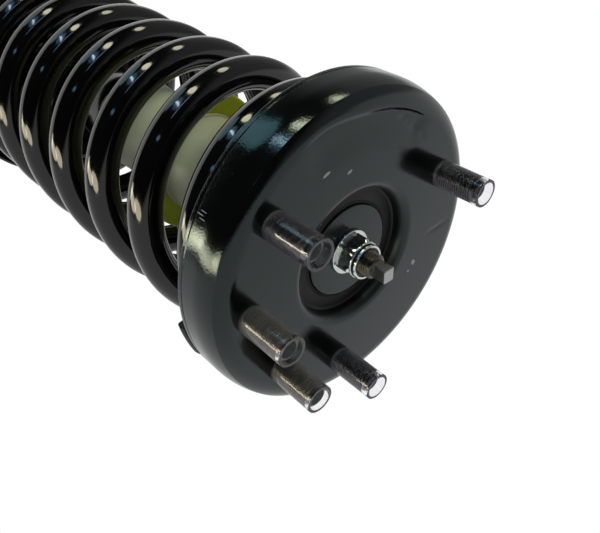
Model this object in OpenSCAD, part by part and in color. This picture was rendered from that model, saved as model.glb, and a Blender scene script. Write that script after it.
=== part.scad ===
// Coil-over strut assembly: pressed top mount with five studs, coil spring, twin-tube damper
// and lower bush eye. Millimetres. Origin at the centre of the mounting face, +Z up the strut's
// axis and out of the face, +X through one of the three main studs.

/* [Layout] */
// Distance from the mounting face down to the lower eye's centre
eye_drop = 470; // [460:1:490]
// Smoothness of round faces
smooth = 96; // [48:12:144]

/* [Top plate] */
// Outer radius of the pressed plate's skirt
plate_r = 80; // [78:0.5:84]
// Sheet thickness of the plate
plate_t = 3; // [2.5:0.5:3]
// Radius of the rounded shoulder
shoulder_r = 10.5; // [9:0.5:11]
// Depth of the skirt's lower edge below the mounting face
skirt_depth = 24.6; // [22:0.2:27]
// Radius of the central well that holds the rubber bush
well_r = 32; // [31:0.5:33]
// Depth of the well's floor below the mounting face
well_depth = 26; // [24:1:28]

/* [Studs] */
// Radius of the circle of the three main studs
main_circle_r = 60; // [58:0.5:60]
// Radius at which the two extra studs stand
pair_circle_r = 61.5; // [61:0.1:62]
// Angle of the two extra studs from the main stud on +X
pair_angle = 160.5; // [156:0.5:164]
// Thread radius of the studs
stud_r = 5; // [4:0.5:5]
// Height of the studs over the mounting face
stud_h = 22.5; // [20:0.5:24]
// Outer radius of the clear shipping sleeves
sleeve_r = 6.85; // [6.85:0.05:7.2]
// Height of the sleeves' open ends over the mounting face
sleeve_h = 26; // [25:0.5:28]

/* [Spring] */
// Mean radius of the coils
coil_r = 60.2; // [59.5:0.1:61]
// Radius of the spring wire
wire_r = 8.5; // [8:0.1:8.6]
// Rise of one free turn
pitch = 40; // [39:0.5:42]
// Turns at full pitch between the two closing ends
free_turns = 6.1; // [5.6:0.1:6.2]
// How far the middle of the coil bows off the axis
bow = 3.4; // [0:0.1:4]
// How far the coil's ends sit off centre on their pads
seat_shift = 0.8; // [0:0.1:0.9]
// Rings of points round one turn
rings_per_turn = 24; // [16:4:32]
// Sides of the wire
wire_sides = 8; // [6:1:8]

/* [Damper] */
// Outer radius of the damper's reservoir tube
tube_r = 24; // [23:0.5:24]
// Radius of the piston rod
rod_r = 11; // [9:0.5:11]
// Working stroke, from full extension to the bump stop
stroke = 95; // [80:1:96]
// Outer radius of the dust tube
dust_r = 27.5; // [26.5:0.1:27.7]
// Outer radius of the urethane collar round the dust tube
collar_r = 44; // [36:1:45]

/* [Lower eye] */
// Outer radius of the eye ring
eye_r = 27; // [26:0.5:28]
// Width of the eye ring
eye_w = 38; // [34:1:40]
// Radius of the bolt hole through the inner sleeve
bolt_hole_r = 8.1; // [6.1:0.1:8.5]

/* [Hidden] */
$fn = smooth;
eps = 0.01;

// Places along the axis, measured from the mounting face
pad_top_z = -plate_t;
pad_seat_z = -9.5;
spring_top_z = pad_seat_z - wire_r;
close_turns = 1.005;
close_rise = pitch * close_turns / 2;
free_top_z = spring_top_z - close_rise;
free_top_a = 150;
free_bottom_z = free_top_z - pitch * free_turns;
spring_bottom_z = free_bottom_z - close_rise;
spring_turns = free_turns + 2 * close_turns;
lower_pad_z = spring_bottom_z - wire_r;
lower_pad_t = 5;
seat_z = lower_pad_z - lower_pad_t;
seat_t = 3;
core_top_z = -5.6;
core_disc_r = 23.4;
core_hub_r = 14;
core_bottom_z = -28;
washer_t = 1.6;
nut_z = core_top_z + washer_t;
nut_h = 8;
thread_r = 6;
cup_z = -(well_depth + plate_t);
bump_len = 60;
bump_top_z = cup_z - 2;
bump_bottom_z = bump_top_z - bump_len;
cap_top_z = bump_bottom_z - stroke - 1;
dust_bottom_z = cap_top_z - 9;
collar_z = -124;
seal_z = cap_top_z - 2;
guide_z = seal_z - 5;
guide_h = 10;
spigot_h = 8;
bore_r = 17.5;
tube_bottom_z = 29 - eye_drop;
base_valve_z = tube_bottom_z + 13;
rebound_z = guide_z - guide_h - spigot_h - 0.5;
piston_z = rebound_z - 16;
piston_h = 24;
rod_end_z = piston_z - piston_h - 14;
eye_rubber_r = eye_r - 5.5;
sleeve_tube_r = 12.5;

sleeve_t = 0.6;
stud_neck_r = 7.3;
stud_places = concat([for (a = [0, 120, -120]) [main_circle_r, a]],
                     [for (a = [pair_angle, -pair_angle]) [pair_circle_r, a]]);

// Points of an arc about c from angle a0 to a1
function arc(c, r, a0, a1, n = 10) =
    [for (i = [0 : n]) c + r * [cos(a0 + (a1 - a0) * i / n), sin(a0 + (a1 - a0) * i / n)]];

// Turns a part of the lower eye on its side and lowers it to its place
module at_eye() { translate([0, 0, -eye_drop]) rotate([90, 0, 0]) children(); }

// A ring between two radii and two heights
module ring(r_out, r_in, z0, z1) {
    difference() {
        translate([0, 0, z0]) cylinder(r = r_out, h = z1 - z0);
        translate([0, 0, z0 - 1]) cylinder(r = r_in, h = z1 - z0 + 2);
    }
}

// A disc or shaft with a chamfer on its top edge
module shaft(r, z0, z1, chamfer = 0.8) {
    translate([0, 0, z0]) cylinder(r = r, h = z1 - z0 - chamfer);
    translate([0, 0, z1 - chamfer - eps]) cylinder(r1 = r, r2 = r - chamfer, h = chamfer + eps);
}

// Children at each of the five stud places
module at_studs() {
    for (s = stud_places) rotate([0, 0, s[1]]) translate([s[0], 0, 0]) children();
}

// ---- Top mount ----

// One pressed sheet: skirt with a turned lip, rounded shoulder, sunk face and drawn well
module top_plate() {
    t = plate_t;
    rim_c = [plate_r - shoulder_r, -shoulder_r];
    edge = 5;
    outer = concat(
        [[plate_r, -skirt_depth]],
        arc(rim_c, shoulder_r, 0, 90, 14),
        arc([well_r + edge, -edge], edge, 90, 180, 8),
        [[well_r, -well_depth], [core_disc_r + 0.6, -well_depth]]);
    inner = concat(
        [[core_disc_r + 0.6, -well_depth - t]],
        arc([well_r - 1, -well_depth + 1], t + 1, -90, 0, 5),
        arc([well_r + edge, -edge], edge - t, 180, 90, 4),
        arc(rim_c, shoulder_r - t, 90, 0, 12),
        [[plate_r - t, -skirt_depth]]);
    color([0.07, 0.08, 0.08]) difference() {
        rotate_extrude() polygon(concat(outer, inner));
        at_studs() translate([0, 0, -t - 1]) cylinder(r = stud_neck_r, h = t + 2);
    }
}

// Press-in studs: head under the sheet, splined neck, shoulder for the sleeve, shank
module mount_studs() {
    color([0.35, 0.35, 0.36]) at_studs() {
        translate([0, 0, -plate_t - 2]) cylinder(r = 7.9, h = 2);
        translate([0, 0, -plate_t - eps]) cylinder(r = stud_neck_r, h = plate_t + eps);
        cylinder(r = sleeve_r - sleeve_t, h = 0.4);
        shaft(stud_r, 0.4 - eps, stud_h, 1);
    }
}

// Clear thin tubes pushed over the studs' shoulders for shipping
module stud_sleeves() {
    color([0.85, 0.88, 0.85, 0.5]) at_studs() ring(sleeve_r, sleeve_r - sleeve_t, 0, sleeve_h);
}

// Rubber moulded between the well and the steel core, with a sunk groove on top
module mount_rubber() {
    z_top = core_top_z - 1.9;
    color([0.05, 0.05, 0.05]) rotate_extrude() polygon([
        [core_hub_r, -well_depth + 0.2], [core_hub_r, core_top_z - 4], [core_disc_r, core_top_z - 4],
        [core_disc_r, z_top], [well_r - 1.4, z_top], [well_r, z_top + 1.2],
        [well_r, -well_depth], [core_disc_r + 0.6, -well_depth],
        [core_disc_r, -well_depth - 2.8], [core_hub_r + 2, -well_depth - 2]]);
}

// Steel core of the bush: a disc on a hub, bored for the rod's thread
module bush_core() {
    color([0.13, 0.14, 0.14]) difference() {
        union() {
            shaft(core_disc_r, core_top_z - 4, core_top_z, 1);
            translate([0, 0, core_bottom_z]) cylinder(r = core_hub_r, h = core_top_z - 2 - core_bottom_z);
        }
        translate([0, 0, core_bottom_z - 1]) cylinder(r = thread_r, h = 40);
    }
}

// Plain washer under the rod nut
module rod_washer() {
    color([0.75, 0.75, 0.72]) ring(11.2, thread_r + 0.3, core_top_z, nut_z);
}

// Hex lock nut with a turned collar that holds the nylon ring
module rod_nut() {
    across = 18;
    collar = 8.7;
    corner = across / sqrt(3);
    color([0.5, 0.5, 0.48]) difference() {
        union() {
            rotate([0, 0, -8]) intersection() {
                translate([0, 0, nut_z]) cylinder(r = corner, h = nut_h, $fn = 6);
                translate([0, 0, nut_z - 1]) shaft(corner + 0.1, 0, nut_h + 1, 1.2);
            }
            shaft(collar, nut_z + nut_h - 1, nut_z + nut_h + 3, 0.6);
        }
        translate([0, 0, nut_z - 1]) cylinder(r = thread_r, h = nut_h + 6);
        translate([0, 0, nut_z + nut_h + 0.2]) cylinder(r = thread_r + 1.7, h = 1.8);
        translate([0, 0, nut_z + nut_h + 1.9]) cylinder(r = thread_r + 1.4, h = 2);
    }
}

// Nylon locking ring inside the nut's collar
module nut_insert() {
    color([0.8, 0.8, 0.75]) 
        ring(thread_r + 1.7, thread_r, nut_z + nut_h + 0.2, nut_z + nut_h + 1.9);
}

// Rubber pad in the plate with pockets for the stud heads and one tab under the skirt
module upper_spring_pad() {
    lip_r = coil_r - wire_r - 1.8;
    wall_r = plate_r - plate_t - 0.2;
    tab_a = 14;
    color([0.06, 0.06, 0.06]) {
        difference() {
            rotate_extrude() polygon([
                [lip_r - 4, pad_top_z], [plate_r - 16, pad_top_z], [wall_r - 2.4, -9], [wall_r, -14],
                [wall_r, -20], [wall_r - 3.5, -20], [wall_r - 5.5, pad_seat_z],
                [lip_r, pad_seat_z], [lip_r - 1, -21], [lip_r - 3, -21]]);
            at_studs() translate([0, 0, pad_top_z - 2.2]) cylinder(r = 8.2, h = 4);
        }
        rotate([0, 0, 176 - tab_a / 2]) {
            rotate_extrude(angle = tab_a) polygon([
                [wall_r - 3, -18], [wall_r - 0.5, -18], [wall_r - 0.5, -25.2], [plate_r + 2, -25.2],
                [plate_r + 2, -29.5], [plate_r + 1, -31], [wall_r - 3, -31]]);
        }
    }
}

// ---- Spring ----

// Height of the wire's centre after n turns from the bottom end: it eases in, climbs, eases out
function coil_z(n) =
    n < close_turns ? spring_bottom_z + pitch * n * n / (2 * close_turns)
    : n < close_turns + free_turns ? free_bottom_z + pitch * (n - close_turns)
    : spring_top_z - pitch * pow(spring_turns - n, 2) / (2 * close_turns);
// Slope of the wire's centre, in mm a turn
function coil_rise(n) =
    n < close_turns ? pitch * n / close_turns
    : n < close_turns + free_turns ? pitch : pitch * (spring_turns - n) / close_turns;
start_a = free_top_a - 360 * (free_turns + close_turns);
function coil_a(n) = start_a + 360 * n;
// How far the coil's centre line bows off the axis at a height
function coil_bow(z) =
    let (s = sin(180 * (spring_top_z - z) / (spring_top_z - spring_bottom_z)))
    [-seat_shift - bow * s, 0.45 * bow * s, z];
function coil_point(n) = coil_bow(coil_z(n)) + coil_r * [cos(coil_a(n)), sin(coil_a(n)), 0];
// One ring of the wire's skin, square to the helix
function coil_ring(n) =
    let (a = coil_a(n), lead = atan2(coil_rise(n), 2 * PI * coil_r))
    [for (i = [0 : wire_sides - 1])
        let (b = 360 * i / wire_sides, u = wire_r * cos(b), v = wire_r * sin(b))
        coil_point(n) + u * [cos(a), sin(a), 0]
            + v * [sin(lead) * sin(a), -sin(lead) * cos(a), cos(lead)]];
coil_rings = round(spring_turns * rings_per_turn);
coil_points = [for (j = [0 : coil_rings]) coil_point(spring_turns * j / coil_rings)];
self_gap = min([for (j = [0 : coil_rings], k = [j + rings_per_turn / 2 : 1 : coil_rings])
    norm(coil_points[j] - coil_points[k])]) - 2 * wire_r;
echo(str("coil_spring: least gap to itself ", self_gap, " mm"));

// One unbroken wire along a right-hand helix with two closed ends
module coil_spring() {
    m = wire_sides;
    pts = [for (j = [0 : coil_rings]) each coil_ring(spring_turns * j / coil_rings)];
    last = coil_rings * m;
    walls = [for (j = [0 : coil_rings - 1], i = [0 : m - 1])
        let (a = j * m + i, b = j * m + (i + 1) % m)
        each [[a, a + m, b + m], [a, b + m, b]]];
    caps = [for (i = [1 : m - 2]) each [[0, i, i + 1], [last, last + i + 1, last + i]]];
    color([0.04, 0.04, 0.05]) polyhedron(points = pts, faces = concat(walls, caps));
}

// ---- Bump stop and dust tube ----

// Pressed cup under the well that holds the bump stop and the dust tube
module bump_cup() {
    color([0.2, 0.2, 0.2]) rotate_extrude() polygon([
        [rod_r + 1, cup_z - 2], [rod_r + 1, cup_z], [dust_r + 1.6, cup_z], [dust_r + 1.6, cup_z - 14],
        [dust_r, cup_z - 14], [dust_r, cup_z - 2]]);
}

// Urethane bumper with two waists
module bump_stop() {
    r = 21;
    waist = 17.5;
    z = bump_top_z;
    color([0.62, 0.64, 0.16]) rotate_extrude() polygon([
        [rod_r + 0.6, z], [r, z], [r + 1.5, z - 2], [r + 1.5, z - 12], [waist, z - 18],
        [r, z - 24], [r, z - 32], [waist - 1, z - 38], [r - 2, z - 44], [r - 3, z - 52],
        [r - 6, z - bump_len], [rod_r + 0.6, z - bump_len]]);
}

// Moulded tube that hangs from the cup and shields the rod
module dust_tube() {
    wall = 1.8;
    color([0.85, 0.84, 0.76]) {
        ring(dust_r, dust_r - wall, dust_bottom_z, cup_z - 2);
        for (z = [collar_z + 3, dust_bottom_z + 3]) ring(dust_r + 1.2, dust_r - eps, z, z + 2.5);
    }
}

// Soft ring that keeps the dust tube clear of the coils
module dust_tube_collar() {
    h = 3;
    color([0.6, 0.63, 0.12]) difference() {
        rotate_extrude() polygon([
            [dust_r, collar_z - h], [collar_r - 1.5, collar_z - h], [collar_r, collar_z - h + 1.5],
            [collar_r, collar_z + h - 1.5], [collar_r - 1.5, collar_z + h], [dust_r, collar_z + h]]);
    }
}

// ---- Rod and piston ----

// Ground rod: driving flats on the tip, thread, shank and piston neck
module piston_rod() {
    thread_top = 12.3;
    tip_top = 19.9;
    tang = [6.4, 8];
    color([0.75, 0.75, 0.75]) {
        rotate([0, 0, -21]) intersection() {
            shaft(4.7, thread_top - 1, tip_top, 0.4);
            translate([-tang[0] / 2, -tang[1] / 2, 0]) cube([tang[0], tang[1], 30]);
        }
        shaft(thread_r, core_bottom_z - 1, thread_top, 0.9);
        shaft(rod_r, piston_z, core_bottom_z, 1);
        translate([0, 0, rod_end_z]) cylinder(r = 6, h = piston_z - rod_end_z + 1);
    }
}

// Ring on the rod that meets the guide at full extension
module rebound_stop() {
    color([0.1, 0.1, 0.1]) rotate_extrude() polygon([
        [rod_r, rebound_z - 9], [rod_r + 3.5, rebound_z - 9], [rod_r + 4.5, rebound_z - 7],
        [rod_r + 4.5, rebound_z - 2], [rod_r + 3.5, rebound_z], [rod_r, rebound_z]]);
}

// Piston with a groove for its band and eight flow passages
module piston() {
    groove = 10;
    color([0.45, 0.45, 0.46]) difference() {
        rotate_extrude() polygon([
            [6, piston_z - piston_h], [15, piston_z - piston_h], [15, piston_z - 20],
            [bore_r - 0.3, piston_z - 18], [bore_r - 0.3, piston_z - 15],
            [bore_r - 2, piston_z - 15], [bore_r - 2, piston_z - 15 + groove],
            [bore_r - 0.3, piston_z - 15 + groove], [bore_r - 0.3, piston_z - 1.5],
            [bore_r - 2, piston_z], [6, piston_z]]);
        for (a = [0 : 45 : 315]) rotate([0, 0, a]) translate([11.5, 0, piston_z - piston_h - 1])
            cylinder(r = 1.6, h = piston_h + 2, $fn = 24);
    }
}

// Low-friction band in the piston's groove
module piston_band() {
    color([0.3, 0.25, 0.2]) ring(bore_r - 0.05, bore_r - 2, piston_z - 14.8, piston_z - 5.2);
}

// Stack of three spring-steel valve shims under the piston
module valve_shims() {
    color([0.6, 0.6, 0.62]) for (i = [0 : 2])
        ring(14 - 2 * i, 6, piston_z - piston_h - 0.8 * (i + 1), piston_z - piston_h - 0.8 * i);
}

// Hex nut that clamps the piston on the rod
module piston_nut() {
    color([0.5, 0.5, 0.5]) difference() {
        translate([0, 0, rod_end_z + 2]) cylinder(r = 10.4, h = 9.6, $fn = 6);
        translate([0, 0, rod_end_z]) cylinder(r = 6, h = 20);
    }
}

// ---- Damper body ----

// Reservoir tube
module damper_tube() {
    color([0.06, 0.06, 0.06]) ring(tube_r, tube_r - 1.6, tube_bottom_z, cap_top_z - 2);
}

// Cap over the tube that strikes the bump stop, with four drain slots
module striker_cap() {
    z = cap_top_z;
    color([0.5, 0.5, 0.48]) difference() {
        rotate_extrude() polygon([
            [rod_r + 1.4, z - 2], [rod_r + 1.4, z], [tube_r - 0.6, z], [tube_r + 0.6, z - 1.2],
            [tube_r + 0.6, z - 9], [tube_r, z - 9], [tube_r, z - 2]]);
        for (a = [0 : 90 : 270]) rotate([0, 0, a]) translate([tube_r - 5, -1, z - 3])
            cube([3, 2, 5]);
    }
}

// Lip seal on the rod
module rod_seal() {
    color([0.08, 0.08, 0.08]) difference() {
        translate([0, 0, seal_z - 5]) cylinder(r = tube_r - 1.6, h = 5);
        translate([0, 0, seal_z - 6]) cylinder(r = rod_r + 0.05, h = 8);
        translate([0, 0, seal_z - 1.5]) cylinder(r1 = rod_r + 0.05, r2 = rod_r + 2, h = 1.6);
    }
}

// Guide bush that seats in both tubes
module rod_guide() {
    color([0.55, 0.5, 0.4]) rotate_extrude() polygon([
        [rod_r + 0.05, guide_z - guide_h - spigot_h], [bore_r - 0.8, guide_z - guide_h - spigot_h],
        [bore_r, guide_z - guide_h - spigot_h + 0.8], [bore_r, guide_z - guide_h],
        [tube_r - 1.6, guide_z - guide_h], [tube_r - 1.6, guide_z], [rod_r + 0.05, guide_z]]);
}

// Inner tube that the piston works in
module pressure_tube() {
    color([0.6, 0.6, 0.6]) ring(bore_r + 1.2, bore_r, base_valve_z, guide_z - guide_h);
}

// Foot valve: spigot in the inner tube, flange with feet and passages
module base_valve() {
    color([0.5, 0.5, 0.45]) difference() {
        union() {
            translate([0, 0, base_valve_z]) cylinder(r = bore_r, h = 7);
            translate([0, 0, base_valve_z - 6]) cylinder(r = tube_r - 1.6, h = 6);
            for (a = [0 : 90 : 270]) rotate([0, 0, a]) translate([14, -3, base_valve_z - 7])
                cube([6, 6, 2]);
        }
        for (a = [0 : 60 : 300]) rotate([0, 0, a]) translate([10, 0, base_valve_z - 8])
            cylinder(r = 1.5, h = 20, $fn = 24);
    }
}

// Pressed dish welded to the tube, with a collar below and a turned-up rim
module lower_spring_seat() {
    r_rim = coil_r + wire_r + 5;
    t = seat_t;
    z = seat_z;
    color([0.06, 0.06, 0.07]) difference() {
        rotate_extrude() polygon(concat(
            [[tube_r, z - 22], [tube_r, z + 3], [tube_r + 3, z + 3], [tube_r + 10, z]],
            arc([r_rim - 4, z + 4], 4, -90, 0, 6), [[r_rim, z + 9], [r_rim + 1.5, z + 10]],
            [[r_rim + t, z + 9]], arc([r_rim - 4, z + 4], 4 + t, 0, -90, 6),
            [[tube_r + 11, z - t], [tube_r + t, z - t - 4], [tube_r + t, z - 22]]));
        for (a = [30 : 120 : 270]) rotate([0, 0, a]) translate([tube_r + 17, 0, z - 10])
            cylinder(r = 4, h = 20);
    }
}

// Rubber pad under the spring, with a lip that centres the coil
module lower_spring_pad() {
    lip_r = coil_r - wire_r - 1.8;
    color([0.05, 0.05, 0.05]) rotate_extrude() polygon([
        [lip_r - 4, seat_z], [coil_r + wire_r + 0.8, seat_z],
        [coil_r + wire_r + 0.8, lower_pad_z], [lip_r, lower_pad_z], [lip_r - 1, lower_pad_z + 9],
        [lip_r - 3, lower_pad_z + 9]]);
}

// Plug that closes the tube and saddles the eye
module base_cap() {
    color([0.07, 0.07, 0.07]) difference() {
        union() {
            translate([0, 0, tube_bottom_z - eps]) cylinder(r = tube_r - 1.6, h = 4 + eps);
            translate([0, 0, tube_bottom_z - 14]) cylinder(r1 = tube_r - 6, r2 = tube_r, h = 14);
        }
        at_eye() cylinder(r = eye_r + 0.03, h = 80, center = true);
    }
}

// Forged ring that holds the bush
module lower_eye() {
    color([0.07, 0.07, 0.07]) at_eye() difference() {
        cylinder(r = eye_r, h = eye_w, center = true);
        cylinder(r = eye_rubber_r, h = eye_w + 2, center = true);
    }
}

// Rubber of the lower bush, proud of the ring at both ends
module eye_rubber() {
    half = eye_w / 2;
    color([0.04, 0.04, 0.04]) at_eye() rotate_extrude() polygon([
        [sleeve_tube_r + 0.05, -half - 3], [eye_rubber_r - 4, -half - 3], [eye_rubber_r - 1, -half],
        [eye_rubber_r, -half + 1], [eye_rubber_r, half - 1], [eye_rubber_r - 1, half],
        [eye_rubber_r - 4, half + 3], [sleeve_tube_r + 0.05, half + 3]]);
}

// Steel sleeve that the lower bolt clamps
module eye_sleeve() {
    color([0.6, 0.6, 0.6]) at_eye() difference() {
        cylinder(r = sleeve_tube_r, h = eye_w + 12, center = true);
        cylinder(r = bolt_hole_r, h = eye_w + 14, center = true);
    }
}

top_plate();
mount_studs();
stud_sleeves();
mount_rubber();
bush_core();
rod_washer();
rod_nut();
nut_insert();
upper_spring_pad();
coil_spring();
bump_cup();
bump_stop();
dust_tube();
dust_tube_collar();
piston_rod();
rebound_stop();
piston();
piston_band();
valve_shims();
piston_nut();
damper_tube();
striker_cap();
rod_seal();
rod_guide();
pressure_tube();
base_valve();
lower_spring_seat();
lower_spring_pad();
base_cap();
lower_eye();
eye_rubber();
eye_sleeve();
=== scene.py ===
"""Looks of a coil-over strut assembly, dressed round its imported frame.

Lengths in the classes are millimetres; a mesh is written in metres. The strut's axis is Z, the
mounting face is z = 0, the studs point up and the lower eye hangs at the far end.
"""

import logging
import math
from dataclasses import dataclass
from enum import Enum
from functools import cache

import bmesh
import bpy
import numpy as np
from mathutils import Matrix, Vector

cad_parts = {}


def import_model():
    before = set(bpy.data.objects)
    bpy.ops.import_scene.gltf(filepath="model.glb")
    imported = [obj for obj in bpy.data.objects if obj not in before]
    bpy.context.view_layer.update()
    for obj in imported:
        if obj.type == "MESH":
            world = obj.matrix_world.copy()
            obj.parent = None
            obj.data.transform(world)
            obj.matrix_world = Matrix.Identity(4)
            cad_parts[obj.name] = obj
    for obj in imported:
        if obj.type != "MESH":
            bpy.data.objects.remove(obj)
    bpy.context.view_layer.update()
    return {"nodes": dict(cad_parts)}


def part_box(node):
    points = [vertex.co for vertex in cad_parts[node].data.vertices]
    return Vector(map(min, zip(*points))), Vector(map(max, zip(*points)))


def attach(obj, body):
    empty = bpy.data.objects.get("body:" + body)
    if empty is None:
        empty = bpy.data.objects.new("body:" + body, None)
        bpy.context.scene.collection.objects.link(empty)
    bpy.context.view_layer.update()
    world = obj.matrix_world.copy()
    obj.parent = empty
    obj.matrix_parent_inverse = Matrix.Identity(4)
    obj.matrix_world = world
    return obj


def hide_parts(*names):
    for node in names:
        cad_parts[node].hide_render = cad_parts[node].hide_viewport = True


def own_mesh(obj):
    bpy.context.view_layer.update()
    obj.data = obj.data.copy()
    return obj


LOG = logging.getLogger("strut")

# Metres in a millimetre, a full turn in radians, and the columns round a lathe shape.
MM = 0.001
TAU = 2 * math.pi
ROUND = 160

# The threads' rise in one turn, rows in one turn, and share of their depth at their ends.
THREAD_PITCH = 1.25
THREAD_ROWS = 12
THREAD_END = 0.6

# Sizes that more than one sub-assembly uses: the rod's thread and shoulder, and the lip of both
# spring pads inside the coil.
ROD_THREAD_R = 6.0
ROD_SHOULDER_Z = -28.0
COIL_LIP_R = 49.9

Grid = np.ndarray
Triple = tuple[float, float, float]
Corner = Triple
Color = tuple[float, float, float, float]
Span = tuple[float, float]
Socket = bpy.types.NodeSocket
Value = Socket | float | Triple | Color


class Body(Enum):
    """The rigid bodies that pieces ride on."""

    TOP = "top_mount"
    DAMPER = "damper_body"
    BUSH = "eye_bush_sleeve"


class Slot(Enum):
    """The record's material slots."""

    GLOSS_BLACK = "gloss_black_steel"
    POWDER_BLACK = "powder_black"
    DARK_STEEL = "dark_steel"
    ZINC = "zinc_steel"
    GROUND = "ground_steel"
    SINTERED = "sintered_iron"
    CLEAR = "clear_sleeve"
    NYLON = "nylon"
    CREAM = "cream_plastic"
    URETHANE = "urethane"
    POLYMER = "bearing_polymer"
    RUBBER = "rubber"


# ---------------------------------------------------------------- surfaces


def outline(corners: list[Corner], closed: bool = True, steps: int = 6) -> Grid:
    """Turns corners into a line whose corners are rounded by arcs.

    At a corner with fillet f and half angle h, the arc's centre lies f / sin(h) along the
    bisector, and the arc meets both sides f / tan(h) from the corner.

    Args:
        corners: Radius, height and fillet of each corner, anticlockwise with radius to the right.
        closed: True if the last corner joins the first.
        steps: Straight pieces in each arc.

    Returns:
        An array of (radius, height) rows.
    """
    places = np.array([c[:2] for c in corners], float)
    rows = []
    for index, (spot, fillet) in enumerate(zip(places, [c[2] for c in corners])):
        at_end = not closed and index in (0, len(corners) - 1)
        if fillet <= 0 or at_end:
            rows.append(spot[None])
            continue
        before = places[index - 1] - spot
        after = places[(index + 1) % len(places)] - spot
        u, v = before / np.linalg.norm(before), after / np.linalg.norm(after)
        half = math.acos(np.clip(u @ v, -1, 1)) / 2
        reach = min(fillet / math.tan(half), np.linalg.norm(before), np.linalg.norm(after))
        radius = reach * math.tan(half)
        centre = spot + (u + v) / np.linalg.norm(u + v) * radius / math.sin(half)
        first, last = spot + u * reach - centre, spot + v * reach - centre
        start = math.atan2(first[1], first[0])
        turn = (math.atan2(last[1], last[0]) - start + math.pi) % TAU - math.pi
        angles = start + turn * np.linspace(0, 1, steps + 1)
        rows.append(centre + radius * np.stack([np.cos(angles), np.sin(angles)], -1))
    return np.concatenate(rows)


def dense(line: Grid, longest: float, closed: bool = True) -> Grid:
    """Splits a line's long stretches into equal parts no longer than a limit.

    Args:
        line: (radius, height) rows.
        longest: The longest stretch to leave, in millimetres.
        closed: True if the last row joins the first.

    Returns:
        The line with more rows.
    """
    following = np.roll(line, -1, 0) if closed else line[1:]
    start = line if closed else line[:-1]
    rows = []
    for a, b in zip(start, following):
        parts = max(1, math.ceil(np.linalg.norm(b - a) / longest))
        rows.append(a + (b - a) * np.arange(parts)[:, None] / parts)
    if not closed:
        rows.append(line[-1:])
    return np.concatenate(rows)


def revolved(line: Grid, around: int = ROUND, sweep: Span | None = None) -> Grid:
    """Carries an outline round the axis: x = r cos a, y = r sin a, z = z.

    Args:
        line: (radius, height) rows.
        around: Columns round the axis.
        sweep: First and last angle in degrees, or None for a full turn.

    Returns:
        A grid of points, rows along the outline and columns round the axis.
    """
    if sweep is None:
        angles = TAU * np.arange(around) / around
    else:
        angles = np.radians(np.linspace(*sweep, around))
    r, z = line[:, :1], line[:, 1:]
    return np.stack([r * np.cos(angles), r * np.sin(angles), z + 0 * angles], -1)


def grid_faces(rows: int, columns: int, wrap_rows: bool, wrap_columns: bool) -> np.ndarray:
    """The four corners of every cell of a grid, turned so that an anticlockwise outline faces out.

    Args:
        rows: Points along the outline.
        columns: Points round the axis.
        wrap_rows: True if the last row joins the first.
        wrap_columns: True if the last column joins the first.

    Returns:
        An array of four vertex numbers a face.
    """
    i = np.arange(rows if wrap_rows else rows - 1)[:, None]
    j = np.arange(columns if wrap_columns else columns - 1)[None]
    i2, j2 = (i + 1) % rows, (j + 1) % columns
    corners = [i * columns + j, i * columns + j2, i2 * columns + j2, i2 * columns + j]
    return np.stack([c.ravel() for c in corners], -1)


def tube_grid(centres: Grid, radius: float, sides: int) -> Grid:
    """Carries a circle along a path that never runs along Z: each ring lies square to its tangent.

    A ring's point at angle b is the centre plus the radius times (side cos b + over sin b), where
    side is the tangent crossed with Z, and over is side crossed with the tangent.

    Args:
        centres: Points of the path, one a row.
        radius: The tube's radius.
        sides: Points round each ring.

    Returns:
        A grid of points, rows along the path and columns round it.
    """
    tangent = np.gradient(centres, axis=0)
    tangent /= np.linalg.norm(tangent, axis=1, keepdims=True)
    side = np.cross(tangent, (0.0, 0.0, 1.0))
    side /= np.linalg.norm(side, axis=1, keepdims=True)
    over = np.cross(side, tangent)
    b = TAU * np.arange(sides) / sides
    across = side[:, None] * np.cos(b)[None, :, None] + over[:, None] * np.sin(b)[None, :, None]
    return centres[:, None] + radius * across


def thread_grid(radius: float, low: float, high: float, depth: float, around: int) -> Grid:
    """A threaded stretch: r = radius - depth * wave, the wave running one pitch a turn.

    The wave is half of one plus the cosine of (z - low - pitch * a / 360) * 360 / pitch. In the
    first and last half pitch it passes over into an even share of the depth, so that both ends
    are round.

    Args:
        radius: The thread's outer radius.
        low: Height of its lower end.
        high: Height of its upper end.
        depth: Depth of the groove.
        around: Columns round the axis.

    Returns:
        A grid of points, rows along the axis and columns round it.
    """
    rows = int((high - low) / THREAD_PITCH * THREAD_ROWS)
    z = np.linspace(low, high, rows)[:, None]
    turn = np.arange(around)[None] / around
    wave = (1 + np.cos(TAU * ((z - low) / THREAD_PITCH - turn))) / 2
    fade = np.clip(np.minimum(z - low, high - z) / (THREAD_PITCH / 2), 0, 1)
    r = radius - depth * (wave * fade + THREAD_END * (1 - fade))
    return np.stack([r * np.cos(TAU * turn), r * np.sin(TAU * turn), z + 0 * turn], -1)


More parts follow.
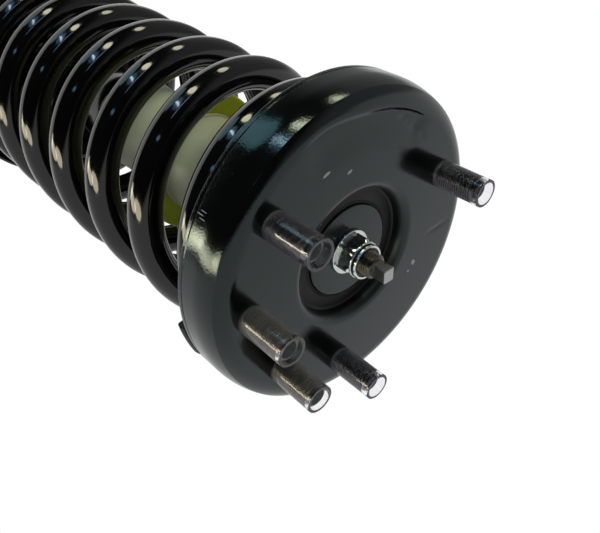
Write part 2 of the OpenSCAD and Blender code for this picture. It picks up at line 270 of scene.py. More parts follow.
@dataclass
class Shell:
    """Points in millimetres and faces, which can be joined, turned and moved before use."""

    points: np.ndarray
    faces: list[list[int]]

    @classmethod
    def from_grid(cls, grid: Grid, wrap_rows: bool = True, wrap_columns: bool = True) -> "Shell":
        """A shell over a grid of points.

        Args:
            grid: Points, rows along the outline and columns round it.
            wrap_rows: True if the last row joins the first.
            wrap_columns: True if the last column joins the first.

        Returns:
            The shell.
        """
        rows, columns = grid.shape[:2]
        faces = grid_faces(rows, columns, wrap_rows, wrap_columns)
        return cls(grid.reshape(-1, 3), faces.tolist())

    @classmethod
    def lathe(cls, corners: list[Corner], closed: bool = True, around: int = ROUND) -> "Shell":
        """A shell revolved from rounded corners."""
        return cls.from_grid(revolved(outline(corners, closed), around), closed)

    @classmethod
    def prism(cls, ring: Grid, low: float, high: float, bevel: float) -> "Shell":
        """A closed block over a ring of (x, y) rows, with a small bevel at both ends.

        Args:
            ring: The block's outline, anticlockwise.
            low: Height of its lower end.
            high: Height of its upper end.
            bevel: How far the ends' edges are taken in.

        Returns:
            The block.
        """
        size = np.abs(ring).max()
        shrink = (size - bevel) / size
        levels = [(low, shrink), (low + bevel, 1), (high - bevel, 1), (high, shrink)]
        grid = np.stack([np.column_stack([ring * s, np.full(len(ring), z)]) for z, s in levels])
        shell = cls.from_grid(grid, wrap_rows=False)
        count = len(ring)
        shell.faces.append(list(range(count))[::-1])
        shell.faces.append(list(range(3 * count, 4 * count)))
        return shell

    def moved(self, offset: tuple[float, float, float]) -> "Shell":
        """The shell at another place."""
        return Shell(self.points + np.array(offset), self.faces)

    def turned(self, matrix: Matrix) -> "Shell":
        """The shell turned by a rotation."""
        return Shell(self.points @ np.array(matrix.to_3x3()).T, self.faces)

    def plus(self, *others: "Shell") -> "Shell":
        """The shell and others as one.

        Args:
            *others: The shells to add.

        Returns:
            The joined shell.
        """
        points, faces = [self.points], list(self.faces)
        base = len(self.points)
        for other in others:
            points.append(other.points)
            faces += [[n + base for n in face] for face in other.faces]
            base += len(other.points)
        return Shell(np.concatenate(points), faces)


# ---------------------------------------------------------------- finishes

# The attribute that holds a piece's wear and painted shade, and the roughness that full wear adds.
WEAR_AND_SHADE = "wear_and_shade"
WEAR_ROUGHNESS = 0.35

# Colours that dust, chips and wear bring in, and the dark that paints shade on the studs' tips.
DUST_SPECK = (0.11, 0.11, 0.10, 1)
BARE_CHIP = (0.5, 0.5, 0.48, 1)
# Painted shade: the dark given to the studs' tips inside their sleeves.
TIP_SHADE_DARK = (0.025, 0.028, 0.028, 1)
SAWN_VINYL = (0.22, 0.2, 0.225, 1)


@dataclass(frozen=True)
class Chip:
    """A small bare chip in a painted surface, in metres.

    Its size along an axis is its radius over its squeeze on that axis.
    """

    spot: Triple
    radius: float
    squeeze: Triple


class Nodes:
    """A node tree, with short calls that add nodes and join them."""

    def __init__(self, owner: bpy.types.Material | bpy.types.World) -> None:
        """Takes over the owner's node tree, emptied.

        Args:
            owner: The material or the world.
        """
        owner.use_nodes = True
        self.nodes = owner.node_tree.nodes
        self.links = owner.node_tree.links
        self.nodes.clear()

    def join(self, source: Value, target: Socket) -> None:
        """Links a socket to a socket, or sets the target to a value.

        Args:
            source: A socket, a number or a row of numbers.
            target: The input that takes it.
        """
        if isinstance(source, Socket):
            self.links.new(source, target)
        else:
            target.default_value = source

    def math(self, kind: str, a: Value, b: Value) -> Socket:
        """One sum of two values.

        Args:
            kind: The sum's kind, such as ADD or MULTIPLY.
            a: The first value.
            b: The second value.

        Returns:
            The socket with the result.
        """
        node = self.nodes.new("ShaderNodeMath")
        node.operation = kind
        self.join(a, node.inputs[0])
        self.join(b, node.inputs[1])
        return node.outputs[0]

    def vector(self, kind: str, a: Socket, b: Triple | None = None) -> bpy.types.bpy_prop_collection:
        """One sum of a vector, with another vector if there is one.

        Args:
            kind: The sum's kind, such as SUBTRACT or LENGTH.
            a: The vector.
            b: The other vector, or None.

        Returns:
            The node's outputs, "Vector" and "Value".
        """
        node = self.nodes.new("ShaderNodeVectorMath")
        node.operation = kind
        self.links.new(a, node.inputs[0])
        if b is not None:
            node.inputs[1].default_value = b
        return node.outputs

    def ramp(self, value: Socket, low: float, high: float, start: float = 0, end: float = 1) -> Socket:
        """Maps low..high of a value to start..end, and holds it there outside.

        Args:
            value: The value.
            low: Where the result reaches its start.
            high: Where the result reaches its end.
            start: The result at low.
            end: The result at high.

        Returns:
            The socket with the result.
        """
        node = self.nodes.new("ShaderNodeMapRange")
        limits = {"From Min": low, "From Max": high, "To Min": start, "To Max": end}
        self.join(value, node.inputs["Value"])
        for socket, number in limits.items():
            node.inputs[socket].default_value = number
        return node.outputs[0]


class Graph(Nodes):
    """A material's node tree with its surface shader, and calls for patterns on Object coordinates."""

    def __init__(self, name: str) -> None:
        """Starts an empty material with its surface shader.

        Args:
            name: The material's name.
        """
        self.material = bpy.data.materials.new(name)
        super().__init__(self.material)
        output = self.nodes.new("ShaderNodeOutputMaterial")
        self.shader = self.nodes.new("ShaderNodeBsdfPrincipled")
        self.links.new(self.shader.outputs[0], output.inputs["Surface"])
        self.place = self.nodes.new("ShaderNodeTexCoord").outputs["Object"]

    def noise(self, scale: float, detail: float, rough: float = 0.55, stretch: Triple = (1, 1, 1)) -> Socket:
        """A noise value on Object coordinates.

        Args:
            scale: Features a metre.
            detail: Number of finer layers.
            rough: How much each finer layer adds.
            stretch: Scale along each axis; a small number draws the noise out that way.

        Returns:
            The socket with the noise.
        """
        mapping = self.nodes.new("ShaderNodeMapping")
        mapping.inputs["Scale"].default_value = stretch
        self.links.new(self.place, mapping.inputs["Vector"])
        texture = self.nodes.new("ShaderNodeTexNoise")
        texture.inputs["Scale"].default_value = scale
        texture.inputs["Detail"].default_value = detail
        texture.inputs["Roughness"].default_value = rough
        self.links.new(mapping.outputs[0], texture.inputs["Vector"])
        return texture.outputs[0]

    def wear_and_shade(self) -> Socket:
        """The piece's own wear and painted shade at each point, from 0 to 1, and 0 on a piece that has none.

        Returns:
            The socket with the wear and painted shade.
        """
        node = self.nodes.new("ShaderNodeAttribute")
        node.attribute_name = WEAR_AND_SHADE
        return node.outputs["Fac"]

    def blend(self, factor: Socket, a: Value, b: Value) -> Socket:
        """A colour between two colours.

        Args:
            factor: 0 for the first colour and 1 for the second.
            a: The first colour.
            b: The second colour.

        Returns:
            The socket with the colour.
        """
        node = self.nodes.new("ShaderNodeMix")
        node.data_type = "RGBA"
        self.join(factor, node.inputs["Factor"])
        self.join(a, node.inputs[6])
        self.join(b, node.inputs[7])
        return node.outputs[2]

    def bump(self, height: Socket, distance: float, strength: float) -> Socket:
        """A normal from a height.

        Args:
            height: The height, from 0 to 1.
            distance: Metres that a height of 1 stands for.
            strength: Share of the bump that is kept.

        Returns:
            The socket with the normal.
        """
        node = self.nodes.new("ShaderNodeBump")
        node.inputs["Distance"].default_value = distance
        node.inputs["Strength"].default_value = strength
        self.links.new(height, node.inputs["Height"])
        return node.outputs[0]

    def near(self, chip: Chip) -> Socket:
        """One inside a chip and nought outside it, with a short slope between.

        Args:
            chip: The chip.

        Returns:
            The socket with the mask.
        """
        offset = self.vector("SUBTRACT", self.place, chip.spot)["Vector"]
        reach = self.vector("LENGTH", self.vector("MULTIPLY", offset, chip.squeeze)["Vector"])["Value"]
        return self.ramp(reach, chip.radius * 0.8, chip.radius, 1, 0)

    def set(self, **sockets: Value) -> None:
        """Sets or links the shader's sockets by name, with _ for a space."""
        for name, source in sockets.items():
            self.join(source, self.shader.inputs[name.replace("_", " ")])


@dataclass(frozen=True)
class Finish:
    """A surface finish; each kind builds its own material once."""

    name: str

    @cache
    def material(self) -> bpy.types.Material:
        """The finish's material, made the first time it is asked for.

        Returns:
            The material.
        """
        graph = Graph(self.name)
        self.build(graph)
        return graph.material

    def build(self, graph: Graph) -> None:
        """Adds the finish's nodes."""
        raise NotImplementedError


@dataclass(frozen=True)
class Paint(Finish):
    """Black stoving paint or powder coat: gloss, orange peel, dust and chips.

    Wear marks dull places.
    """

    color: Color = (0.0025, 0.003, 0.003, 1)
    dusty: Color = (0.0045, 0.0055, 0.0055, 1)
    rough: Span = (0.08, 0.13)
    tint: Color = (0.8, 1, 0.97, 1)
    peel: float = 0.00007
    peel_scale: float = 1300
    specks: float = 0.8
    chips: tuple[Chip, ...] = ()

    def build(self, graph: Graph) -> None:
        """Adds the paint's nodes.

        Args:
            graph: The material's node tree.
        """
        cloud = graph.noise(28, 4)
        film = graph.noise(160, 5, 0.65)
        color = graph.blend(graph.ramp(cloud, 0.42, 0.68), self.color, self.dusty)
        speck = graph.ramp(graph.noise(1500, 1, 0.4), self.specks, self.specks + 0.03)
        color = graph.blend(speck, color, DUST_SPECK)
        rough = graph.ramp(film, 0.3, 0.7, *self.rough)
        rough = graph.math("ADD", rough, graph.math("MULTIPLY", graph.wear_and_shade(), WEAR_ROUGHNESS))
        for chip in self.chips:
            color = graph.blend(graph.near(chip), color, BARE_CHIP)
        normal = graph.bump(graph.noise(self.peel_scale, 2, 0.4), self.peel, 0.6)
        graph.set(Base_Color=color, Roughness=rough, Normal=normal, IOR=1.5, Specular_Tint=self.tint)


@dataclass(frozen=True)
class Metal(Finish):
    """Bare or plated metal with fine working marks and stains.

    Wear marks dark places: painted shade at the studs' tips inside their sleeves.
    """

    color: Color
    stain: Color
    rough: Span
    marks: Triple = (1, 1, 1)
    depth: float = 0.00001
    stained: Span = (0.5, 0.75)

    def build(self, graph: Graph) -> None:
        """Adds the metal's nodes.

        Args:
            graph: The material's node tree.
        """
        cloud = graph.noise(90, 5, 0.6)
        fine = graph.noise(600, 3, 0.6, self.marks)
        color = graph.blend(graph.ramp(cloud, *self.stained), self.color, self.stain)
        # Painted shade: the wear attribute darkens the metal, as at the studs' tips in their sleeves.
        color = graph.blend(graph.wear_and_shade(), color, TIP_SHADE_DARK)
        rough = graph.ramp(fine, 0.3, 0.7, *self.rough)
        normal = graph.bump(fine, self.depth, 0.7)
        graph.set(Base_Color=color, Roughness=rough, Normal=normal, Metallic=1.0)


@dataclass(frozen=True)
class Rubber(Finish):
    """Moulded rubber: matt, lightly grained, with a bloom of dust."""

    color: Color = (0.005, 0.005, 0.005, 1)
    bloom: Color = (0.012, 0.0125, 0.012, 1)
    rough: Span = (0.4, 0.6)

    def build(self, graph: Graph) -> None:
        """Adds the rubber's nodes.

        Args:
            graph: The material's node tree.
        """
        cloud = graph.noise(60, 4, 0.6)
        grain = graph.noise(1400, 2, 0.5)
        color = graph.blend(graph.ramp(cloud, 0.4, 0.75), self.color, self.bloom)
        rough = graph.ramp(cloud, 0.3, 0.7, *self.rough)
        normal = graph.bump(grain, 0.00003, 0.5)
        graph.set(Base_Color=color, Roughness=rough, Normal=normal, Specular_IOR_Level=0.25)


@dataclass(frozen=True)
class Moulded(Finish):
    """Moulded plastic or urethane foam: colour drift, fine texture and a little depth of colour."""

    color: Color
    drift: Color
    rough: Span = (0.35, 0.5)
    pores: float = 0.00002
    pore_scale: float = 700
    depth: float = 0.0

    def build(self, graph: Graph) -> None:
        """Adds the plastic's nodes.

        Args:
            graph: The material's node tree.
        """
        cloud = graph.noise(40, 4, 0.6)
        fine = graph.noise(self.pore_scale, 3, 0.6)
        color = graph.blend(graph.ramp(cloud, 0.35, 0.7), self.color, self.drift)
        color = graph.blend(graph.ramp(fine, 0.62, 0.75, 0, 0.35), color, self.drift)
        rough = graph.ramp(fine, 0.3, 0.7, *self.rough)
        normal = graph.bump(fine, self.pores, 0.6)
        graph.set(Base_Color=color, Roughness=rough, Normal=normal)
        if self.depth:
            graph.set(Subsurface_Weight=0.2, Subsurface_Radius=(self.depth,) * 3)


@dataclass(frozen=True)
class ClearVinyl(Finish):
    """Clear tube, slightly smoky, with long faint draw lines.

    Wear marks its sawn ends, which are darker, rougher and less clear.
    """

    color: Color = (0.93, 0.92, 0.95, 1)
    smoke: Color = (0.84, 0.83, 0.87, 1)

    def build(self, graph: Graph) -> None:
        """Adds the vinyl's nodes.

        Args:
            graph: The material's node tree.
        """
        lines = graph.noise(420, 3, 0.6, (1, 1, 0.04))
        sawn = graph.wear_and_shade()
        color = graph.blend(graph.ramp(lines, 0.42, 0.7), self.color, self.smoke)
        color = graph.blend(sawn, color, SAWN_VINYL)
        drawn = graph.ramp(lines, 0.35, 0.7, 0.01, 0.06)
        rough = graph.math("ADD", drawn, graph.math("MULTIPLY", sawn, WEAR_ROUGHNESS))
        clear = graph.math("SUBTRACT", 1.0, graph.math("MULTIPLY", sawn, 0.45))
        normal = graph.bump(lines, 0.000002, 0.15)
        graph.set(Base_Color=color, Roughness=rough, Normal=normal)
        graph.set(Transmission_Weight=clear, IOR=1.45)


# Four bare specks on the plate's face, and three scratches on its skirt by the second main stud.
PLATE_CHIPS = (
    Chip((0.0301, -0.0379, 0), 0.0014, (1, 0.75, 0.05)),
    Chip((0.0256, -0.0405, 0), 0.0008, (1, 1, 0.05)),
    Chip((-0.0003, 0.0533, 0), 0.0009, (0.4, 1.2, 0.05)),
    Chip((0.0105, 0.0453, 0), 0.0008, (0.5, 1.1, 0.05)),
    Chip((-0.0475, 0.0644, -0.0195), 0.00017, (1, 1, 0.07)),
    Chip((-0.0486, 0.0635, -0.0175), 0.00017, (1, 1, 0.08)),
    Chip((-0.0462, 0.0653, -0.0182), 0.00015, (1, 1, 0.07)),
)
GLOSS_BLACK = Paint("gloss_black_paint", chips=PLATE_CHIPS)
POWDER_BLACK = Paint(
    "black_powder_coat",
    color=(0.002, 0.002, 0.0022, 1),
    dusty=(0.004, 0.004, 0.0042, 1),
    rough=(0.06, 0.1),
    tint=(1, 1, 1, 1),
    peel=0.000008,
    peel_scale=300,
    specks=0.9,
)
CORE_PAINT = Paint(
    "core_black_paint",
    color=(0.003, 0.0036, 0.0036, 1),
    dusty=(0.006, 0.007, 0.007, 1),
    rough=(0.2, 0.3),
    peel=0.00002,
    peel_scale=500,
)
ZINC = Metal(
    "zinc_plate",
    color=(0.7, 0.75, 0.73, 1),
    stain=(0.55, 0.59, 0.57, 1),
    rough=(0.12, 0.24),
    depth=0.000005,
)
BLACK_THREAD = Metal(
    "phosphated_thread",
    color=(0.11, 0.11, 0.12, 1),
    stain=(0.07, 0.066, 0.058, 1),
    rough=(0.3, 0.4),
    depth=0.000001,
)
BARE_THREAD = Metal(
    "bare_thread",
    color=(0.2, 0.19, 0.165, 1),
    stain=(0.14, 0.135, 0.115, 1),
    rough=(0.34, 0.44),
    depth=0.000001,
    stained=(0.4, 0.7),
)
OILED_THREAD = Metal(
    "oiled_thread",
    color=(0.12, 0.11, 0.085, 1),
    stain=(0.07, 0.062, 0.048, 1),
    rough=(0.22, 0.34),
    depth=0.000001,
    stained=(0.4, 0.7),
)
SAWN_STEEL = Metal(
    "sawn_steel",
    color=(0.4, 0.41, 0.4, 1),
    stain=(0.3, 0.31, 0.3, 1),
    rough=(0.25, 0.4),
    marks=(1, 0.1, 1),
)
GROUND_STEEL = Metal(
    "ground_bar",
    color=(0.7, 0.7, 0.7, 1),
    stain=(0.6, 0.6, 0.6, 1),
    rough=(0.08, 0.2),
    marks=(0.2, 0.2, 1),
    depth=0.000004,
)
SINTERED = Metal(
    "sintered_grey",
    color=(0.24, 0.23, 0.22, 1),
    stain=(0.14, 0.13, 0.12, 1),
    rough=(0.45, 0.65),
    depth=0.00003,
)
RUBBER = Rubber("black_rubber")
NYLON = Moulded("dark_nylon", color=(0.05, 0.045, 0.04, 1), drift=(0.03, 0.028, 0.025, 1))
CREAM = Moulded("cream_moulding", color=(0.44, 0.465, 0.315, 1), drift=(0.37, 0.39, 0.26, 1))
URETHANE = Moulded(
    "yellow_urethane",
    color=(0.52, 0.6, 0.006, 1),
    drift=(0.42, 0.48, 0.005, 1),
    rough=(0.5, 0.65),
    pores=0.00005,
    pore_scale=500,
    depth=0.002,
)
POLYMER = Moulded("bearing_lining", color=(0.12, 0.07, 0.04, 1), drift=(0.08, 0.05, 0.03, 1))
CLEAR = ClearVinyl("clear_vinyl")

# Frame nodes that keep their own mesh, with the finish and slot of each.
NODE_FINISHES: dict[str, tuple[Finish, Slot]] = {
    "rebound_stop": (RUBBER, Slot.RUBBER),
    "piston": (SINTERED, Slot.SINTERED),
    "piston_band": (POLYMER, Slot.POLYMER),
    "valve_shims": (GROUND_STEEL, Slot.GROUND),
    "piston_nut": (ZINC, Slot.ZINC),
    "rod_seal": (RUBBER, Slot.RUBBER),
    "rod_guide": (SINTERED, Slot.SINTERED),
    "pressure_tube": (GROUND_STEEL, Slot.GROUND),
    "base_valve": (SINTERED, Slot.SINTERED),
    "base_cap": (POWDER_BLACK, Slot.POWDER_BLACK),
}


# ---------------------------------------------------------------- pieces


def add_piece(
    name: str,
    shell: Shell,
    finish: Finish,
    body: Body,
    nodes: tuple[str, ...] = (),
    sharp: float = 40.0,
    wear_and_shade: np.ndarray | None = None,
) -> bpy.types.Object:
    """Makes a mesh object from a shell, dresses it and sets what it rides on.

    Args:
        name: The piece's name.
        shell: Its points in millimetres and faces.
        finish: Its finish.
        body: The body it rides on.
        nodes: The frame's nodes that it stands for.
        sharp: Edges that bend more than this many degrees stay sharp.
        wear_and_shade: A number from 0 to 1 for each point, for worn or sawn places and for painted shade.

    Returns:
        The object.
    """
    mesh = bpy.data.meshes.new(name)
    mesh.from_pydata((shell.points * MM).tolist(), [], shell.faces)
    if wear_and_shade is not None:
        values = mesh.attributes.new(WEAR_AND_SHADE, "FLOAT", "POINT")
        values.data.foreach_set("value", wear_and_shade.astype(np.float32))
    work = bmesh.new()
    work.from_mesh(mesh)
    bmesh.ops.remove_doubles(work, verts=work.verts, dist=1e-7)
    bmesh.ops.dissolve_degenerate(work, edges=work.edges, dist=1e-8)
    work.to_mesh(mesh)
    work.free()
    mesh.shade_smooth()
    mesh.set_sharp_from_angle(angle=math.radians(sharp))
    mesh.materials.append(finish.material())
    piece = bpy.data.objects.new(name, mesh)
    bpy.context.scene.collection.objects.link(piece)
    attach(piece, body.value)
    if nodes:
        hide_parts(*nodes)
    LOG.info("%s: %d faces, rides on %s", name, len(mesh.polygons), body.value)
    return piece


def dress_node(frame: dict, node: str, finish: Finish) -> None:
    """Gives a frame node its finish.

    Args:
        node: The node's name.
        finish: Its finish.
    """
    piece = frame["nodes"][node]
    piece.data.materials.clear()
    piece.data.materials.append(finish.material())
    LOG.info("%s: frame node, %s", node, finish.name)


def bump_of(x: Grid, centre: float, width: float) -> Grid:
    """A smooth hump: the square of one less the square of the distance, nought past the width."""
    return np.clip(1 - ((x - centre) / width) ** 2, 0, 1) ** 2


def step_of(x: Grid, start: float, end: float) -> Grid:
    """A smooth step from 0 at start to 1 at end: 3 t squared less 2 t cubed."""
    t = np.clip((x - start) / (end - start), 0, 1)
    return t * t * (3 - 2 * t)


@dataclass
class TopMount:
    """The pressed plate, its studs under clear sleeves, the bonded bush and the rod's nut."""

    plate_r: float = 80.0
    plate_t: float = 3.0
    skirt_depth: float = 24.6
    skirt_groove: float = 0.35
    crown_in: float = 5.6
    well_r: float = 32.0
    well_depth: float = 26.0
    core_r: float = 23.4
    core_top: float = -5.6
    hub_r: float = 14.0
    main_circle_r: float = 60.0
    main_angles: tuple[float, ...] = (0.0, 120.0, -120.0)
    pair_circle_r: float = 61.5
    pair_angles: tuple[float, ...] = (160.5, -160.5)
    pair_extra: float = 1.7
    stud_r: float = 5.0
    stud_h: float = 22.5
    stud_groove: float = 0.3
    stud_head_r: float = 7.9
    stud_neck_r: float = 7.3
    sleeve_r: float = 6.85
    sleeve_t: float = 1.4
    sleeve_h: float = 26.0
    grip_r: float = 4.35
    washer_r: float = 11.2
    washer_t: float = 1.6
    nut_across: float = 18.0
    nut_h: float = 8.0
    nut_turn: float = -8.0
    nut_collar_r: float = 8.7
    tab_sweep: Span = (169.2, 182.8)

    def main_studs(self, shell: Shell) -> Shell:
        """Copies of a shell at the three main studs."""
        return self.copies(shell, self.main_circle_r, self.main_angles)

    def stud_pair(self, shell: Shell) -> Shell:
        """Copies of a shell at the pair of studs."""
        return self.copies(shell, self.pair_circle_r, self.pair_angles)

    def copies(self, shell: Shell, radius: float, angles: tuple[float, ...]) -> Shell:
        """Copies of a shell on a circle.

        Args:
            shell: The shell, standing on the axis.
            radius: The circle's radius.
            angles: The angle of each copy, in degrees.

        Returns:
            The copies as one.
        """
        moved = shell.moved((radius, 0, 0))
        turns = [Matrix.Rotation(math.radians(angle), 4, "Z") for angle in angles]
        first, *others = [moved.turned(turn) for turn in turns]
        return first.plus(*others)

    def build(self) -> None:
        """Makes every piece of the top mount."""
        self.build_plate()
        self.build_studs()
        self.build_bush()
        self.build_nut()
        self.build_pad()

    def build_plate(self) -> None:
        """Revolves the plate's outline and presses the face's faint creases into it."""
        r, t, floor, rim = self.plate_r, self.plate_t, -self.well_depth, -self.skirt_depth
        corners = [
            (r, rim, 0.5),
            (r, rim + 2.3, 0.2),
            (r - self.skirt_groove, rim + 2.7, 0.2),
            (r, rim + 3.1, 0.2),
            (r, -9.0, 28.0),
            (r - 2.3, -3.6, 0.5),
            (r - self.crown_in, 0, 11.0),
            (self.well_r, 0, 5.0),
            (self.well_r, floor, 1.0),
            (self.core_r + 0.6, floor, 0.3),
            (self.core_r + 0.6, floor - t, 0.3),
            (self.well_r + t, floor - t, 4.0),
            (self.well_r + t, -t, 2.0),
            (r - self.crown_in, -t, 7.0),
            (r - t, -t - 5.0, 5.0),
            (r - t, rim, 0.4),
        ]
        line = outline(corners, steps=12)
        face = np.flatnonzero(line[:, 1] > -t)
        first, last = face[0], face[-1]
        line = np.concatenate([line[:first], dense(line[first:last], 0.8, False), line[last:]])
        grid = revolved(line, 400)
        radius = np.hypot(grid[..., 0], grid[..., 1])
        angle = np.degrees(np.arctan2(grid[..., 1], grid[..., 0]))
        outer = (grid[..., 2] > -t / 2) & (radius > self.well_r + 3)
        grid[..., 2] += outer * self.creases(radius, angle)
        dull = step_of(self.well_r + 4.5 - radius, 0, 4).ravel()
        add_piece(
            "top_plate_pressing",
            Shell.from_grid(grid),
            GLOSS_BLACK,
            Body.TOP,
            ("top_plate",),
            sharp=50,
            wear_and_shade=dull,
        )

    def creases(self, radius: Grid, angle: Grid) -> Grid:
        """Depth of the press marks on the face, at each radius and angle.

        Between 30 and 95 degrees the face inside the crown is pressed down by a sharp step whose
        edge is an arc that drifts outwards past 66 degrees, with a low ridge outside it, and
        fades back up inwards. A few small dents lie inside it, and one straight mark runs
        outwards at 31 degrees the other side of the first stud.

        Args:
            radius: Distance from the axis.
            angle: Angle from the first stud, in degrees.

        Returns:
            The height to add.
        """
        edge = 68.8 + 3.2 * step_of(angle, 64.0, 88.0)
        span = step_of(angle, 28.0, 38.0) * step_of(-angle, -99.0, -88.0)
        land = step_of(edge - radius, -0.4, 0.9) * step_of(radius, 50.0, 64.0) * span
        ridge = bump_of(radius - edge, 1.8, 1.8) * span
        lean = (radius - 59.3) * 0.24
        mark = bump_of(angle + 31.2 - lean, 0.0, 1.9) * bump_of(radius, 59.0, 11.0)
        dents = 0 * radius
        for place, turn, size in ((65.0, 46.0, 2.2), (62.8, 37.5, 2.8), (61.0, 29.5, 2.4), (63.6, 42.0, 1.6)):
            across = np.hypot(radius - place, (angle - turn) * 0.6)
            dents = dents + bump_of(across, 0.0, size)
        return -0.7 * land + 0.12 * ridge - 0.35 * mark - 0.25 * dents

    def build_studs(self) -> None:
        """Makes the threaded studs and the clear sleeves over them."""
        low, high = self.stud_h, self.stud_h + self.pair_extra
        pieces = (
            ("threaded_studs", self.main_studs(self.stud(low)), BLACK_THREAD, low, ("mount_studs",)),
            ("threaded_stud_pair", self.stud_pair(self.stud(high)), BARE_THREAD, high, ()),
        )
        for name, shell, finish, tip, nodes in pieces:
            # Painted shade: the top 0.4 mm of each stud, which sits in its sleeve's open end, is darkened.
            shaded_tip = shell.points[:, 2] > tip - 0.4
            add_piece(name, shell, finish, Body.TOP, nodes, sharp=50, wear_and_shade=shaded_tip)
        sleeves = self.main_studs(self.sleeve(low)).plus(self.stud_pair(self.sleeve(high)))
        height = sleeves.points[:, 2]
        sawn = (height > self.sleeve_h - 0.01) + 0.3 * (height < 0.45)
        add_piece("clear_sleeves", sleeves, CLEAR, Body.TOP, ("stud_sleeves",), wear_and_shade=sawn)

    def stud(self, tip: float) -> Shell:
        """One stud: its pressed-in head, a smooth seat on the face, the thread and its tip.

        Args:
            tip: Height of the stud's end.

        Returns:
            The stud, standing on the axis.
        """
        r, t, head_r, neck_r = self.stud_r, self.plate_t, self.stud_head_r, self.stud_neck_r
        seat_r, end = self.sleeve_r - self.sleeve_t - 0.1, tip - 1.0
        profiles = (
            [(0, -t - 2, 0), (head_r, -t - 2, 0.4), (head_r, -t, 0.3), (0, -t, 0)],
            [(0, -t, 0), (neck_r, -t, 0), (neck_r, -0.02, 0.1), (0, -0.02, 0)],
            [(0, 0, 0), (seat_r, 0, 0.1), (seat_r, 0.4, 0.1), (0, 0.4, 0)],
            [(r - THREAD_END * self.stud_groove, end, 0), (r - 1.2, tip, 0.3), (0, tip, 0)],
        )
        head, neck, seat, nose = [Shell.lathe(profile, False, 48) for profile in profiles]
        thread = Shell.from_grid(thread_grid(r, 0.4, end, self.stud_groove, 48), False)
        return head.plus(neck, seat, thread, nose)

    def sleeve(self, tip: float) -> Shell:
        """One sleeve, standing on the face: tight on its stud's thread, and open past its tip.

        Args:
            tip: Height of the stud's end.

        Returns:
            The sleeve, standing on the axis.
        """
        r, inner, grip, high = self.sleeve_r, self.sleeve_r - self.sleeve_t, self.grip_r, self.sleeve_h
        end = tip - 1.0
        corners = [
            (grip, 0, 0.1),
            (r, 0, 0.15),
            (r, 0.4, 0),
            (r, high, 0.2),
            (inner, high, 0.15),
            (inner, end, 0),
            (grip, end, 0),
        ]
        return Shell.from_grid(revolved(dense(outline(corners, steps=3), 2.0), 64))

    def build_bush(self) -> None:
        """Makes the bonded rubber, with its sunk groove, and the painted core."""
        floor, top, hub = -self.well_depth, self.core_top - 1.9, self.hub_r
        rubber = [
            (hub, floor + 0.2, 0),
            (hub + 2, floor - 2, 0.8),
            (self.core_r, floor - 2.8, 1.0),
            (self.core_r + 0.6, floor, 0),
            (self.well_r, floor, 0),
            (self.well_r, top + 0.8, 0.2),
            (self.well_r - 1.2, top, 1.0),
            (self.core_r + 1.4, top + 0.3, 1.0),
            (self.core_r, top + 1.0, 0.3),
            (self.core_r, self.core_top - 4, 0),
            (hub, self.core_top - 4, 0),
        ]
        add_piece("bonded_rubber", Shell.lathe(rubber), RUBBER, Body.TOP, ("mount_rubber",))
        core = [
            (ROD_THREAD_R, ROD_SHOULDER_Z, 0.3),
            (hub, ROD_SHOULDER_Z, 0.6),
            (hub, self.core_top - 4, 0.5),
            (self.core_r, self.core_top - 4, 0.6),
            (self.core_r, self.core_top, 0.9),
            (ROD_THREAD_R, self.core_top, 0.3),
        ]
        add_piece("bush_core_disc", Shell.lathe(core), CORE_PAINT, Body.TOP, ("bush_core",))

    def hex_nut(self, low: float, high: float) -> Shell:
        """A hexagon whose corners are turned back at both ends.

        The radius at angle a is half the flats over the cosine of the angle to the nearest flat,
        and no more than the corner radius less what the chamfer cone takes.

        Args:
            low: Height of the lower face.
            high: Height of the upper face.

        Returns:
            The bored hexagon.
        """
        half, step = self.nut_across / 2, math.radians(30)
        a = np.radians(np.arange(0, 360, 2.0))
        flat = half / np.cos((a + step) % (2 * step) - step)
        chamfers = [
            (half - 0.3, low),
            (half + 0.35, low),
            (half + 1.6, low + 0.9),
            (half + 1.6, high - 1.1),
            (half + 0.2, high),
            (half - 0.8, high),
        ]
        turned = np.array(chamfers)
        radii = np.minimum(flat[None], turned[:, :1])
        bore = np.full((1, len(a)), ROD_THREAD_R)
        radii = np.concatenate([bore, radii, bore])
        z = np.concatenate([[low], turned[:, 1], [high]])[:, None] + 0 * radii
        turn = a + math.radians(self.nut_turn + 30)
        return Shell.from_grid(np.stack([radii * np.cos(turn), radii * np.sin(turn), z], -1))

    def build_nut(self) -> None:
        """Makes the washer, and the lock nut with its collar and nylon ring."""
        r, base = ROD_THREAD_R, self.core_top
        low = base + self.washer_t
        high = low + self.nut_h
        edge, rim, lock_r = self.washer_r, self.nut_collar_r, r + 1.9
        washer = [(r + 0.3, base, 0.1), (edge, base, 0.35), (edge, low, 0.35), (r + 0.3, low, 0.1)]
        plain = Shell.lathe(washer, around=96)
        add_piece("rod_washer_zinc", plain, ZINC, Body.TOP, ("rod_washer",))
        collar = [
            (lock_r, high - 0.8, 0),
            (rim, high - 0.8, 0),
            (rim, high + 2.2, 0.3),
            (rim - 0.4, high + 3.0, 0.35),
            (lock_r - 0.5, high + 2.85, 0.3),
            (lock_r - 0.5, high + 1.9, 0.1),
            (lock_r, high + 1.7, 0.1),
        ]
        bead = [
            (rim - 1.1, high - 0.3, 0),
            (rim + 0.5, high - 0.3, 0.1),
            (rim + 0.3, high + 0.5, 0.35),
            (rim - 1.1, high + 0.5, 0),
        ]
        rings = [Shell.lathe(profile, around=96) for profile in (collar, bead)]
        nut = self.hex_nut(low, high).plus(*rings)
        add_piece("lock_nut", nut, ZINC, Body.TOP, ("rod_nut",), sharp=30)
        lock = [(r, high + 0.2, 0), (r + 1.7, high + 0.2, 0), (r + 1.7, high + 1.9, 0), (r, high + 1.9, 0.4)]
        nylon = Shell.lathe(lock, around=64)
        add_piece("nylon_ring", nylon, NYLON, Body.TOP, ("nut_insert",))

